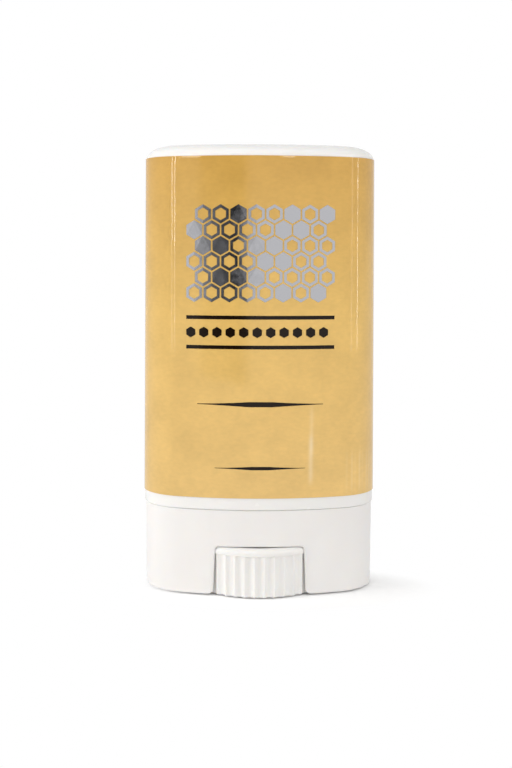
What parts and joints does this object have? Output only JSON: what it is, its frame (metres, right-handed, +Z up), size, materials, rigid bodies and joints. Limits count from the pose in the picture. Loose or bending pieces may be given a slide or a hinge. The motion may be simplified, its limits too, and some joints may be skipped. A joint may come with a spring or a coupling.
{
  "type": "twist-up wax stick",
  "caption": "Oval twist-up wax stick with a push-on cap, wrap label, inner seal and a fluted thumbwheel that drives the stick up on a lead screw.",
  "frame": {"origin": "centre of the foot, on the table it stands on", "axes": "+Z up along the stick, X along the broad side, front window and label face towards -Y"},
  "size_m": [0.036, 0.0214, 0.0677],
  "materials": {
    "white_case": "moulded white, satin",
    "white_wheel": "moulded white, satin",
    "natural_screw": "natural acetal, smooth",
    "white_elevator": "moulded white, matt",
    "cream_wax": "poured wax, soft sheen",
    "natural_seal": "natural film-thin plastic, milky",
    "white_cap": "moulded white, glossy",
    "gold_label": "gold printed film, gloss laminate"
  },
  "bodies": {
    "case": {"barrel": "white_case"},
    "drive": {"thumbwheel": "white_wheel", "lead_screw": "natural_screw"},
    "stick": {"elevator": "white_elevator", "wax_stick": "cream_wax"},
    "seal": {"inner_seal": "natural_seal"},
    "cover": {"cap": "white_cap", "cap_label": "gold_label"}
  },
  "joints": [
    {"name": "wheel_turn", "type": "hinge", "parent": "case", "child": "drive", "pos_m": [0, 0, 0.0036], "axis": [0, 0, 1], "range_deg": [0, 3600]},
    {"name": "stick_rise", "type": "slide", "parent": "case", "child": "stick", "axis": [0, 0, 1], "range_m": [0, 0.04]},
    {"name": "seal_lift", "type": "slide", "parent": "stick", "child": "seal", "axis": [0, 0, 1], "range_m": [0, 0.014]},
    {"name": "cap_pull", "type": "slide", "parent": "seal", "child": "cover", "axis": [0, 0, 1], "range_m": [0, 0.056]}
  ],
  "couplings": [
    {"joint": "wheel_turn", "follows": "stick_rise", "rad_per_m": 1570.8}
  ]
}
